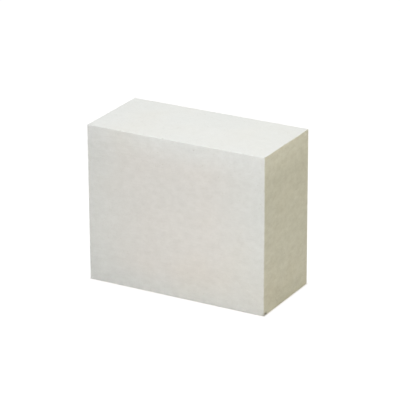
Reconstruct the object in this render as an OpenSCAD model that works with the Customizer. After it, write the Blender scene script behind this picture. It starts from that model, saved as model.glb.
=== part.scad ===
// Solid aerated concrete block: one wire-cut cuboid with plain ends and worn arrises.
// It stands on its lower bed face, with the origin at the centre of that face.
// X runs along the wall, Y through its thickness and Z up the course.

/* [Block] */
// Length along the wall
block_length = 300; // [150:5:625]
// Thickness through the wall
block_thickness = 140; // [50:5:400]
// Height of one course
block_height = 250; // [100:5:500]

/* [Arrises] */
// Radius that handling wears on every arris
arris_radius = 1.2; // [0.4:0.1:6]

/* [Hidden] */
$fn = 48;
block_colour = [0.87, 0.87, 0.86];

// Rectangle about the origin whose four corners are worn round
module worn_rectangle(width, depth) {
    inner_width = width - 2 * arris_radius;
    inner_depth = depth - 2 * arris_radius;
    square([inner_width, depth], center = true);
    square([width, inner_depth], center = true);
    for (side = [-1, 1], end = [-1, 1])
        translate([side * inner_width / 2, end * inner_depth / 2])
            circle(arris_radius);
}

// The cuboid is what is common to its plan, its elevation and its end view,
// so the arrises of all three directions run into one another at the corners
module block() {
    color(block_colour)
        translate([0, 0, block_height / 2])
            intersection() {
                linear_extrude(block_height, center = true)
                    worn_rectangle(block_length, block_thickness);
                rotate([90, 0, 0])
                    linear_extrude(block_thickness, center = true)
                        worn_rectangle(block_length, block_height);
                rotate([0, 90, 0])
                    linear_extrude(block_length, center = true)
                        worn_rectangle(block_height, block_thickness);
            }
}

block();
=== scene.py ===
import math
import random

import bpy
from mathutils import Euler, Matrix, Vector


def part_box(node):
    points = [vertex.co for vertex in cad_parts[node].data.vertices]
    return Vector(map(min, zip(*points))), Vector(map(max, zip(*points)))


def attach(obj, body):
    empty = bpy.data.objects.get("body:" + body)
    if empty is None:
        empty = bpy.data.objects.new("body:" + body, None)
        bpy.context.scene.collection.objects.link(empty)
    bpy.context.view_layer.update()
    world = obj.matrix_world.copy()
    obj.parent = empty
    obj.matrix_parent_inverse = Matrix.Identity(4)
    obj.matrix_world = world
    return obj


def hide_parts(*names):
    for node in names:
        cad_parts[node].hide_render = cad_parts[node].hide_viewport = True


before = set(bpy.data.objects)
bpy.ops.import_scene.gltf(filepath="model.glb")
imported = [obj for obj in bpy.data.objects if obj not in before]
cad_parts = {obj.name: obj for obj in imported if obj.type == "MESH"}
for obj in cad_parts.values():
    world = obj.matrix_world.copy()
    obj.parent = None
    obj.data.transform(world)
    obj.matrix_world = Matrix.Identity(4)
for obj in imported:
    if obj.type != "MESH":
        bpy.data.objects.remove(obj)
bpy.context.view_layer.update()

mm = 0.001
white = (1.0, 1.0, 1.0, 1.0)
axes = range(3)
lengthAxis, thicknessAxis, heightAxis = axes
blockLow, blockHigh = [Vector(corner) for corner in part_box("block")]
blockSize = blockHigh - blockLow
blockMiddle = (blockLow + blockHigh) / 2


# Small helpers for objects and nodes

def deselectAll():
    bpy.ops.object.select_all(action="DESELECT")


def makeActive(piece):
    deselectAll()
    piece.select_set(True)
    bpy.context.view_layer.objects.active = piece


def linkObject(name, data):
    holder = bpy.data.objects.new(name, data)
    bpy.context.scene.collection.objects.link(holder)
    return holder


def setInput(tree, socket, value):
    # Another node's output is linked, and a plain value is written
    if isinstance(value, bpy.types.NodeSocket):
        tree.links.new(value, socket)
    else:
        socket.default_value = value


def addNode(tree, kind, values=None, **settings):
    node = tree.nodes.new(kind)
    for name, value in settings.items():
        setattr(node, name, value)
    for key, value in (values or {}).items():
        setInput(tree, node.inputs[key], value)
    return node


def addMath(tree, operation, *values):
    return addNode(tree, "ShaderNodeMath", dict(enumerate(values)), operation=operation).outputs[0]


def addRange(tree, value, low, high, outLow=0.0, outHigh=1.0, smooth=True):
    # Low may be above high, which turns the slope round
    values = {"Value": value, "From Min": low, "From Max": high, "To Min": outLow, "To Max": outHigh}
    shape = "SMOOTHSTEP" if smooth else "LINEAR"
    return addNode(tree, "ShaderNodeMapRange", values, interpolation_type=shape).outputs["Result"]


def addTint(tree, colour, mask, tint, blend="MULTIPLY"):
    values = {"Factor": mask, "A": colour, "B": tint}
    return addNode(tree, "ShaderNodeMix", values, data_type="RGBA", blend_type=blend).outputs["Result"]


def addPlace(tree):
    return addNode(tree, "ShaderNodeTexCoord").outputs["Object"]


def splitPlace(tree):
    return addNode(tree, "ShaderNodeSeparateXYZ", {"Vector": addPlace(tree)}).outputs


def addInside(tree, place, axis):
    # How far a point lies in from the nearer of the block's two faces on one axis
    offset = addMath(tree, "SUBTRACT", place[axis], blockMiddle[axis])
    return addMath(tree, "SUBTRACT", blockSize[axis] / 2, addMath(tree, "ABSOLUTE", offset))


def shareSurface(tree, mask, first, second, outputKind):
    # The second shader takes over from the first by a mask
    mix = addNode(tree, "ShaderNodeMixShader", {"Fac": mask, 1: first.outputs[0], 2: second.outputs[0]})
    addNode(tree, outputKind, {"Surface": mix.outputs[0]})


# Camera, found from the seven corners of the block that the photo shows

photoView = {
    "place": (1.7236, -3.0653, 1.5109),
    "azimuth": 29.297,    # degrees round from the front face
    "height": 21.401,     # degrees above level
    "roll": -0.310,       # degrees
    "lens": 225.62,       # mm on the sensor below
    "sensor": 36.0,
}


def addCamera():
    levelTip = 90    # degrees up from looking straight down
    camera = bpy.data.cameras.new("photoCamera")
    camera.sensor_width = photoView["sensor"]
    camera.lens = photoView["lens"]
    holder = linkObject("photoCamera", camera)
    turn = Matrix.Rotation(math.radians(photoView["azimuth"]), 3, "Z")
    tip = Matrix.Rotation(math.radians(levelTip - photoView["height"]), 3, "X")
    roll = Matrix.Rotation(math.radians(photoView["roll"]), 3, "Z")
    holder.location = photoView["place"]
    holder.rotation_euler = (turn @ tip @ roll).to_euler()
    bpy.context.scene.camera = holder
    print("camera placed,", photoView["lens"], "mm lens")


# Studio: soft lamps, a pale floor and an even surround

studio = {
    "lamps": {
        # name: place, width, watts, colour
        "frontSoftbox": ((0.107, -0.72, 0.27), 0.45, 2.48, (1.0, 1.0, 1.0)),
        "topSoftbox": ((0.06, -0.1, 1.7), 1.0, 21.7, (1.0, 1.0, 1.0)),
        "endFill": ((2.0, 0.35, 0.85), 1.2, 12.6, (1.0, 0.895, 0.512)),
        "backFill": ((-1.75, 1.65, 0.6), 1.4, 25.0, (1.0, 1.0, 1.0)),
    },
    "surroundStrength": 0.02,
    "backdropStrength": 1.0,    # what the camera sees behind the floor
    "floorWidth": 24.0,
    "floorColour": (0.80, 0.772, 0.715, 1.0),
    "floorGlow": 1.10,
    "floorGlowShare": 0.9,      # how far the camera sees plain white in place of the lit floor
    "footReach": 4 * mm,        # the contact shadow fades over this far, in and out from the foot
}


def addLamps():
    for name, (place, width, watts, colour) in studio["lamps"].items():
        lamp = bpy.data.lights.new(name, "AREA")
        lamp.shape = "SQUARE"
        lamp.size = width
        lamp.energy = watts
        lamp.color = colour
        holder = linkObject(name, lamp)
        holder.location = place
        aim = blockMiddle - Vector(place)
        holder.rotation_euler = aim.to_track_quat("-Z", "Y").to_euler()
        holder.visible_camera = False
    print("lamps hung:", *studio["lamps"])


def addSeenMask(tree):
    # One where the camera sees the surface, directly or through gloss and glass
    path = addNode(tree, "ShaderNodeLightPath").outputs
    mirror = addMath(tree, "MAXIMUM", path["Is Glossy Ray"], path["Is Transmission Ray"])
    return addMath(tree, "MAXIMUM", path["Is Camera Ray"], mirror)


def addSurround():
    world = bpy.data.worlds.new("studioSurround")
    bpy.context.scene.world = world
    world.use_nodes = True
    tree = world.node_tree
    tree.nodes.clear()
    light = addNode(tree, "ShaderNodeBackground", {
        "Color": white, "Strength": studio["surroundStrength"]})
    backdrop = addNode(tree, "ShaderNodeBackground", {
        "Color": white, "Strength": studio["backdropStrength"]})
    shareSurface(tree, addSeenMask(tree), light, backdrop, "ShaderNodeOutputWorld")
    print("surround set")


def addFootDistance(tree):
    # How far a point of the floor lies outside the block's foot, less than nothing under it
    place = splitPlace(tree)
    inside = [addInside(tree, place, axis) for axis in (lengthAxis, thicknessAxis)]
    beyond = [addMath(tree, "MINIMUM", depth, 0.0) for depth in inside]
    squares = [addMath(tree, "MULTIPLY", part, part) for part in beyond]
    outside = addMath(tree, "SQRT", addMath(tree, "ADD", *squares))
    under = addMath(tree, "MAXIMUM", addMath(tree, "MINIMUM", *inside), 0.0)
    return addMath(tree, "SUBTRACT", outside, under)


def addFloor():
    deselectAll()
    bpy.ops.mesh.primitive_plane_add(size=studio["floorWidth"], location=(0, 0, blockLow.z))
    floor = bpy.context.object
    floor.name = "studioFloor"
    material = bpy.data.materials.new("paleFloor")
    material.use_nodes = True
    tree = material.node_tree
    tree.nodes.clear()
    matt = addNode(tree, "ShaderNodeBsdfDiffuse", {"Color": studio["floorColour"]})
    glow = addNode(tree, "ShaderNodeEmission", {"Color": white, "Strength": studio["floorGlow"]})
    reach = studio["footReach"]
    share = addRange(tree, addFootDistance(tree), -reach, reach, 0.0, studio["floorGlowShare"])
    mask = addMath(tree, "MULTIPLY", addSeenMask(tree), share)
    shareSurface(tree, mask, matt, glow, "ShaderNodeOutputMaterial")
    floor.data.materials.append(material)
    print("floor laid")


# Concrete finishes

concrete = {
    "cutColour": (0.775, 0.788, 0.779, 1.0),
    "brokenColour": (0.68, 0.675, 0.65, 1.0),
    "warmTint": (0.995, 0.98, 0.955, 1.0),
    "coolTint": (0.975, 0.985, 0.99, 1.0),
    "heartTint": (0.995, 0.96, 0.947, 1.0),    # the broad sides dry warmer in the middle
    "paintedToplightTint": (1.16, 1.165, 1.19, 1.0),     # and painted light from above, making the upright faces palest under the upper bed
    "grainTint": (0.95, 0.95, 0.95, 1.0),
    "fleckTint": (0.866, 0.862, 0.853, 1.0),
    # painted shade inside the pores
    "paintedPoreShadeTint": (0.72, 0.71, 0.68, 1.0),
    "scuffTint": white,
    "paintedFootShadeTint": (0.28, 0.275, 0.26, 1.0),      # painted shade in the foot bruise
    "grainPerMetre": 1000.0,
    "grainNoise": {"Detail": 3.0, "Roughness": 0.62},
    "grainSpan": (0.28, 0.72),                 # of the noise, from none to full
    "flecksPerMetre": 168.0,
    "fleckNoise": {"Detail": 3.0, "Roughness": 0.6},
    "fleckSpan": (0.72, 0.28),
    "fleckStretch": (0.575, 0.47, 0.845),      # longer along the level cut
    "patchPerMetre": 8.0,
    "patchNoise": {"Detail": 2.0, "Roughness": 0.5},
    "patchSpan": (0.25, 0.75),
    "patchEven": 0.5,                          # neither warm nor cool
    "poresPerMetre": 720.0,
    "poreReach": (0.12, 0.28),                 # smallest and largest, of a pattern cell
    "poreFloor": 0.55,                         # of its reach, where a pore is at its full depth
    "cutPores": 0.55,                          # share of the pattern cells that hold a pore
    "brokenPores": 0.8,
    "dragStretch": (14.0, 14.0, 420.0),        # pattern cells per metre along the cut and up it
    "dragNoise": {"Detail": 1.0},
    "dragSpan": (0.3, 0.7),
    "dragRelief": 0.6,                         # against one for flecks and pores
    "grainRelief": 0.3,
    "faceDepth": 1.5 * mm,                     # a point this near to a face belongs to it
    "endInset": 105 * mm,                      # the heart is at its full this far from the ends
    "bedInset": 50 * mm,                       # and from the beds
    "paintedToplightDepth": 52 * mm,
    "sidePaintedToplight": 0.39,                         # of what the ends show of the painted light from above
    "sideFlecks": 0.54,                        # the ends are cut across and show all of theirs
    "bedFlecks": 0.45,                         # share of a bed's flecks that still show
    # the painted shade at the foot fades out over this far
    "paintedFootShadeReach": 8 * mm,
    "scuffWidth": 2.6 * mm,
    "scuffShare": 0.05,
    "roughness": (0.92, 0.99),
    "specular": 0.22,
    "bumpHeight": 0.25 * mm,
    "bumpStrength": 0.5,
}


def newGroup(name, inputs):
    group = bpy.data.node_groups.new(name, "ShaderNodeTree")
    for label, value in inputs.items():
        socket = group.interface.new_socket(label, in_out="INPUT", socket_type="NodeSocketFloat")
        socket.default_value = value
    return group, addNode(group, "NodeGroupInput").outputs


def closeGroup(group, results):
    for label in results:
        group.interface.new_socket(label, in_out="OUTPUT", socket_type="NodeSocketFloat")
    addNode(group, "NodeGroupOutput", results)
    return group


def placeGroup(tree, group, values=None):
    return addNode(tree, "ShaderNodeGroup", values, node_tree=group).outputs


def addNoise(tree, place, scale, character, span, outHigh=1.0):
    noise = addNode(tree, "ShaderNodeTexNoise", {"Vector": place, "Scale": scale, **character})
    return addRange(tree, noise.outputs[0], *span, 0.0, outHigh, smooth=False)


def addStretch(tree, place, scale):
    return addNode(tree, "ShaderNodeMapping", {"Vector": place, "Scale": scale}).outputs[0]


def makeGrainGroup():
    # Fine grain, longer flecks, broad patches, small round pores, and the relief they make
    group, take = newGroup("poreGrain", {
        "Grain Scale": concrete["grainPerMetre"],
        "Fleck Scale": concrete["flecksPerMetre"],
        "Patch Scale": concrete["patchPerMetre"],
        "Pore Scale": concrete["poresPerMetre"],
        "Pore Share": concrete["cutPores"],
    })
    place = addPlace(group)
    level = addStretch(group, place, concrete["fleckStretch"])
    grain = addNoise(group, place, take["Grain Scale"], concrete["grainNoise"], concrete["grainSpan"])
    flecks = addNoise(group, level, take["Fleck Scale"], concrete["fleckNoise"], concrete["fleckSpan"])
    patches = addNoise(group, place, take["Patch Scale"], concrete["patchNoise"], concrete["patchSpan"])
    cells = addNode(group, "ShaderNodeTexVoronoi", {"Vector": place, "Scale": take["Pore Scale"]})
    draw = addNode(group, "ShaderNodeSeparateColor", {"Color": cells.outputs["Color"]}).outputs
    chosen = addMath(group, "LESS_THAN", draw[0], take["Pore Share"])
    small, large = concrete["poreReach"]
    reach = addMath(group, "MULTIPLY_ADD", draw[1], large - small, small)
    away = addMath(group, "DIVIDE", cells.outputs["Distance"], reach)
    pores = addMath(group, "MULTIPLY", addRange(group, away, 1.0, concrete["poreFloor"]), chosen)
    bumps = addMath(group, "MULTIPLY_ADD", grain, concrete["grainRelief"], flecks)
    relief = addMath(group, "SUBTRACT", bumps, pores)
    return closeGroup(group, {
        "Grain": grain, "Flecks": flecks, "Patches": patches, "Pores": pores, "Relief": relief})


def makeArrisGroup():
    # One along the twelve arrises, fading to nothing on the faces
    group, take = newGroup("arrisScuff", {"Width": concrete["scuffWidth"]})
    place = splitPlace(group)
    fromEnds, fromSides, fromBeds = [addInside(group, place, axis) for axis in axes]
    # The middle one of the three distances is the way to the nearest arris
    low = addMath(group, "MINIMUM", fromEnds, fromSides)
    high = addMath(group, "MAXIMUM", fromEnds, fromSides)
    middle = addMath(group, "MAXIMUM", low, addMath(group, "MINIMUM", high, fromBeds))
    away = addMath(group, "DIVIDE", middle, take["Width"])
    return closeGroup(group, {"Scuff": addRange(group, away, 1.0, 0.0)})


def makeZoneGroup():
    # The heart of the broad sides, painted light from above on the upright faces, the flecks' share,
    # painted shade at the foot
    group, take = newGroup("faceZones", {
        "Face Depth": concrete["faceDepth"],
        "End Inset": concrete["endInset"],
        "Bed Inset": concrete["bedInset"],
        "PaintedToplight Depth": concrete["paintedToplightDepth"],
        "Side PaintedToplight": concrete["sidePaintedToplight"],
        "Side Flecks": concrete["sideFlecks"],
        "Bed Flecks": concrete["bedFlecks"],
        "PaintedFootShade Reach": concrete["paintedFootShadeReach"],
    })
    place = splitPlace(group)
    fromEnds = addInside(group, place, lengthAxis)
    fromBeds = addInside(group, place, heightAxis)
    fromTop = addMath(group, "SUBTRACT", blockHigh.z, place[heightAxis])
    amidEnds = addRange(group, fromEnds, 0.0, take["End Inset"])
    amidBeds = addRange(group, fromBeds, 0.0, take["Bed Inset"])
    upright = addRange(group, fromBeds, 0.0, take["Face Depth"])
    underTop = addRange(group, fromTop, take["PaintedToplight Depth"], 0.0)
    endPaintedToplight = addRange(group, fromEnds, take["Face Depth"], 0.0, take["Side PaintedToplight"], 1.0)
    endFlecks = addRange(group, fromEnds, take["Face Depth"], 0.0, take["Side Flecks"], 1.0)
    bedFlecks = addRange(group, fromBeds, take["Face Depth"], 0.0, 1.0, take["Bed Flecks"])
    away = addNode(
        group, "ShaderNodeVectorMath", {0: addPlace(group), 1: bruisePlace()}, operation="DISTANCE")
    return closeGroup(group, {
        "Heart": addMath(group, "MULTIPLY", amidEnds, amidBeds),
        "PaintedToplight": addMath(group, "MULTIPLY", addMath(group, "MULTIPLY", upright, underTop), endPaintedToplight),
        "Fleck Share": addMath(group, "MULTIPLY", endFlecks, bedFlecks),
        "PaintedFootShade": addRange(group, away.outputs["Value"], take["PaintedFootShade Reach"], 0.0),
    })


def addDragLines(tree):
    # Faint level lines that the cutting wire drags over the upright faces
    place = addStretch(tree, addPlace(tree), concrete["dragStretch"])
    return addNoise(tree, place, 1.0, concrete["dragNoise"], concrete["dragSpan"], concrete["dragRelief"])


def makeConcrete(name, groups, colour, poreShare, isCut):
    material = bpy.data.materials.new(name)
    material.use_nodes = True
    tree = material.node_tree
    shader = tree.nodes["Principled BSDF"]
    shader.inputs["Specular IOR Level"].default_value = concrete["specular"]
    grain = placeGroup(tree, groups["grain"], {"Pore Share": poreShare})
    zones = placeGroup(tree, groups["zones"])
    arris = placeGroup(tree, groups["arris"])
    warm = addRange(tree, grain["Patches"], concrete["patchEven"], 1.0, smooth=False)
    cool = addRange(tree, grain["Patches"], concrete["patchEven"], 0.0, smooth=False)
    flecks = addMath(tree, "MULTIPLY", grain["Flecks"], zones["Fleck Share"])
    scuff = addMath(tree, "MULTIPLY", arris["Scuff"], concrete["scuffShare"])
    base = addTint(tree, colour, warm, concrete["warmTint"])
    base = addTint(tree, base, cool, concrete["coolTint"])
    base = addTint(tree, base, zones["Heart"], concrete["heartTint"])
    # painted light from above: the upright faces lighter towards the top
    base = addTint(tree, base, zones["PaintedToplight"], concrete["paintedToplightTint"])
    base = addTint(tree, base, grain["Grain"], concrete["grainTint"])
    base = addTint(tree, base, flecks, concrete["fleckTint"])
    # painted shade: the pores darkened as if shaded inside
    base = addTint(tree, base, grain["Pores"], concrete["paintedPoreShadeTint"])
    base = addTint(tree, base, scuff, concrete["scuffTint"], "MIX")
    # painted shade: a dark spot round the foot bruise, darkest at its centre
    base = addTint(tree, base, zones["PaintedFootShade"], concrete["paintedFootShadeTint"])
    rough = addRange(tree, grain["Grain"], 0.0, 1.0, *concrete["roughness"], smooth=False)
    relief = grain["Relief"]
    if isCut:
        relief = addMath(tree, "ADD", relief, addDragLines(tree))
    bump = addNode(tree, "ShaderNodeBump", {
        "Height": relief, "Strength": concrete["bumpStrength"], "Distance": concrete["bumpHeight"]})
    tree.links.new(base, shader.inputs["Base Color"])
    tree.links.new(rough, shader.inputs["Roughness"])
    tree.links.new(bump.outputs[0], shader.inputs["Normal"])
    print("finish", name)
    return material


# The block: a cuboid with worn arrises, opened pores and a few nibbled edges

block = {
    "arrisRadius": 1.2 * mm,
    "arrisSteps": 4,
    "arrisProfile": 0.5,           # a round arris
    "seed": 11,
    "poresPerSquareMetre": 12000,
    "poreRadius": (0.25 * mm, 0.5 * mm),
    "bigPoreRadius": (0.55 * mm, 0.9 * mm),
    "bigPoreShare": 0.06,
    "poreDepth": (0.5, 0.9),       # of the pore's radius
    "poreMargin": 2.6 * mm,        # left whole beside an arris
    "poreGap": 0.25 * mm,
    "beadSteps": 1,                # subdivisions of a small pore
    "pebbleSteps": 2,              # and of a big pore or a nibble
    "nibblesPerMetre": 60,
    "nibbleRadius": (0.6 * mm, 1.4 * mm),
    "nibbleBias": 3,               # towards the smallest
    "nibbleStretch": (1.0, 1.9),   # along the arris
    "nibbleTilt": 0.4,             # radians either way
    "nibbleGap": 4.5 * mm,
    "nibbleForms": 5,
    "nibbleRoughness": (0.7, 1.12),
    "bruiseSize": (2.4 * mm, 4.6 * mm, 3.4 * mm),
    "bruiseOffset": 4.5 * mm,      # along the end face from the front foot corner
    "bruiseTurn": (0.2, 0.1, 0.15),
    "smoothAngle": 50,             # degrees
    "flatLimit": 0.9999,           # how square to an axis a flat face is
}


def bruisePlace():
    # The one small bruise that the photo shows, at the foot of the end face by the front corner
    return Vector((blockHigh.x, blockLow.y + block["bruiseOffset"], blockLow.z))


def modelCuboid():
    deselectAll()
    bpy.ops.mesh.primitive_cube_add(size=1, location=blockMiddle, scale=blockSize)
    cuboid = bpy.context.object
    cuboid.name = "aeratedBlock"
    cuboid.data.name = "aeratedBlock"
    bpy.ops.object.transform_apply(location=True, rotation=True, scale=True)
    bpy.ops.object.mode_set(mode="EDIT")
    bpy.ops.mesh.select_mode(type="EDGE")
    bpy.ops.mesh.select_all(action="SELECT")
    bpy.ops.mesh.bevel(
        offset=block["arrisRadius"], segments=block["arrisSteps"],
        profile=block["arrisProfile"], affect="EDGES")
    bpy.ops.mesh.normals_make_consistent(inside=False)
    bpy.ops.object.mode_set(mode="OBJECT")
    return cuboid


def modelPebble(subdivisions):
    # One small round form, copied for every pore of its size
    deselectAll()
    bpy.ops.mesh.primitive_ico_sphere_add(subdivisions=subdivisions, radius=1)
    pebble = bpy.context.object
    points = [vertex.co.copy() for vertex in pebble.data.vertices]
    faces = [tuple(polygon.vertices) for polygon in pebble.data.polygons]
    bpy.ops.object.delete()
    return points, faces


def roughen(pebble, chance):
    # A broken-off crumb is never round
    points, faces = pebble
    return [point * chance.uniform(*block["nibbleRoughness"]) for point in points], faces


def scatterPores(chance):
    # Centres and sizes over the six faces, none touching another
    pores = {"small": [], "big": []}
    gap = block["poreGap"]
    cell = 2 * block["bigPoreRadius"][1] + gap
    nextCells = (-1, 0, 1)
    for axis in axes:
        along, up = [other for other in axes if other != axis]
        attempts = int(blockSize[along] * blockSize[up] * block["poresPerSquareMetre"])
        for side in (blockLow, blockHigh):
            grid = {}
            for attempt in range(attempts):
                isBig = chance.random() < block["bigPoreShare"]
                radius = chance.uniform(*block["bigPoreRadius" if isBig else "poreRadius"])
                margin = block["poreMargin"] + radius
                centre = Vector(side)
                centre[along] = chance.uniform(blockLow[along] + margin, blockHigh[along] - margin)
                centre[up] = chance.uniform(blockLow[up] + margin, blockHigh[up] - margin)
                column = math.floor(centre[along] / cell)
                row = math.floor(centre[up] / cell)
                around = [(column + right, row + above) for right in nextCells for above in nextCells]
                near = [pore for spot in around for pore in grid.get(spot, ())]
                if any((centre - other).length < radius + reach + gap for other, reach in near):
                    continue
                grid.setdefault((column, row), []).append((centre, radius))
                size = Vector((radius, radius, radius))
                size[axis] = radius * chance.uniform(*block["poreDepth"])
                pores["big" if isBig else "small"].append((centre, size, Euler((0, 0, 0))))
    return pores


def scatterNibbles(chance):
    # Crumbs lost along the twelve arrises, and the bruise
    nibbles = []
    gap = block["nibbleGap"]
    tilt = block["nibbleTilt"]
    small, large = block["nibbleRadius"]
    for axis in axes:
        first, second = [other for other in axes if other != axis]
        attempts = int(blockSize[axis] * block["nibblesPerMetre"])
        for firstSide in (blockLow, blockHigh):
            for secondSide in (blockLow, blockHigh):
                taken = []
                for attempt in range(attempts):
                    spot = chance.uniform(blockLow[axis] + gap, blockHigh[axis] - gap)
                    if any(abs(spot - other) < gap for other in taken):
                        continue
                    taken.append(spot)
                    centre = Vector((0, 0, 0))
                    centre[axis] = spot
                    centre[first] = firstSide[first]
                    centre[second] = secondSide[second]
                    radius = small + (large - small) * chance.random() ** block["nibbleBias"]
                    size = Vector((radius, radius, radius))
                    size[axis] = radius * chance.uniform(*block["nibbleStretch"])
                    turn = Euler([chance.uniform(-tilt, tilt) for angle in axes])
                    nibbles.append((centre, size, turn))
    nibbles.append((bruisePlace(), Vector(block["bruiseSize"]), Euler(block["bruiseTurn"])))
    return nibbles


def modelCutter(groups, material):
    # All pores and nibbles in one mesh, each a copy of its form
    vertices = []
    polygons = []
    for scattered, forms in groups:
        for index, (centre, size, turn) in enumerate(scattered):
            points, faces = forms[index % len(forms)]
            start = len(vertices)
            spin = turn.to_matrix()
            for point in points:
                scaled = Vector([point[axis] * size[axis] for axis in axes])
                vertices.append(centre + spin @ scaled)
            polygons.extend(tuple(start + corner for corner in face) for face in faces)
    mesh = bpy.data.meshes.new("poreCutter")
    mesh.from_pydata(vertices, [], polygons)
    mesh.materials.append(material)
    return linkObject("poreCutter", mesh)


def cutPores(cuboid, cutter):
    makeActive(cuboid)
    opening = cuboid.modifiers.new("openPores", "BOOLEAN")
    opening.operation = "DIFFERENCE"
    opening.solver = "MANIFOLD"
    opening.object = cutter
    opening.material_mode = "TRANSFER"
    bpy.ops.object.modifier_apply(modifier=opening.name)
    mesh = cutter.data
    bpy.data.objects.remove(cutter)
    bpy.data.meshes.remove(mesh)


def shadeBlock(cuboid):
    # The six flats stay flat, and only the arrises and pores are smoothed
    makeActive(cuboid)
    bpy.ops.object.shade_smooth_by_angle(angle=math.radians(block["smoothAngle"]))
    for polygon in cuboid.data.polygons:
        if max(abs(part) for part in polygon.normal) > block["flatLimit"]:
            polygon.use_smooth = False


def buildBlock():
    groups = {"grain": makeGrainGroup(), "zones": makeZoneGroup(), "arris": makeArrisGroup()}
    cutFace = makeConcrete(
        "cutConcrete", groups, concrete["cutColour"], concrete["cutPores"], True)
    broken = makeConcrete(
        "brokenConcrete", groups, concrete["brokenColour"], concrete["brokenPores"], False)
    cuboid = modelCuboid()
    cuboid.data.materials.append(cutFace)
    print("cuboid", len(cuboid.data.polygons), "faces")
    chance = random.Random(block["seed"])
    pores = scatterPores(chance)
    nibbles = scatterNibbles(chance)
    bead = modelPebble(block["beadSteps"])
    pebble = modelPebble(block["pebbleSteps"])
    crumbs = [roughen(pebble, chance) for form in range(block["nibbleForms"])]
    cuts = ((pores["small"], [bead]), (pores["big"], [pebble]), (nibbles, crumbs))
    cutter = modelCutter(cuts, broken)
    print("cutter", *[len(scattered) for scattered, forms in cuts], "small pores, big pores, nibbles")
    cutPores(cuboid, cutter)
    shadeBlock(cuboid)
    print("block", len(cuboid.data.polygons), "faces,", len(cuboid.data.materials), "finishes")
    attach(cuboid, "root")
    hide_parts("block")


buildBlock()
addFloor()
addLamps()
addSurround()
addCamera()
bpy.context.scene.view_settings.view_transform = "Standard"
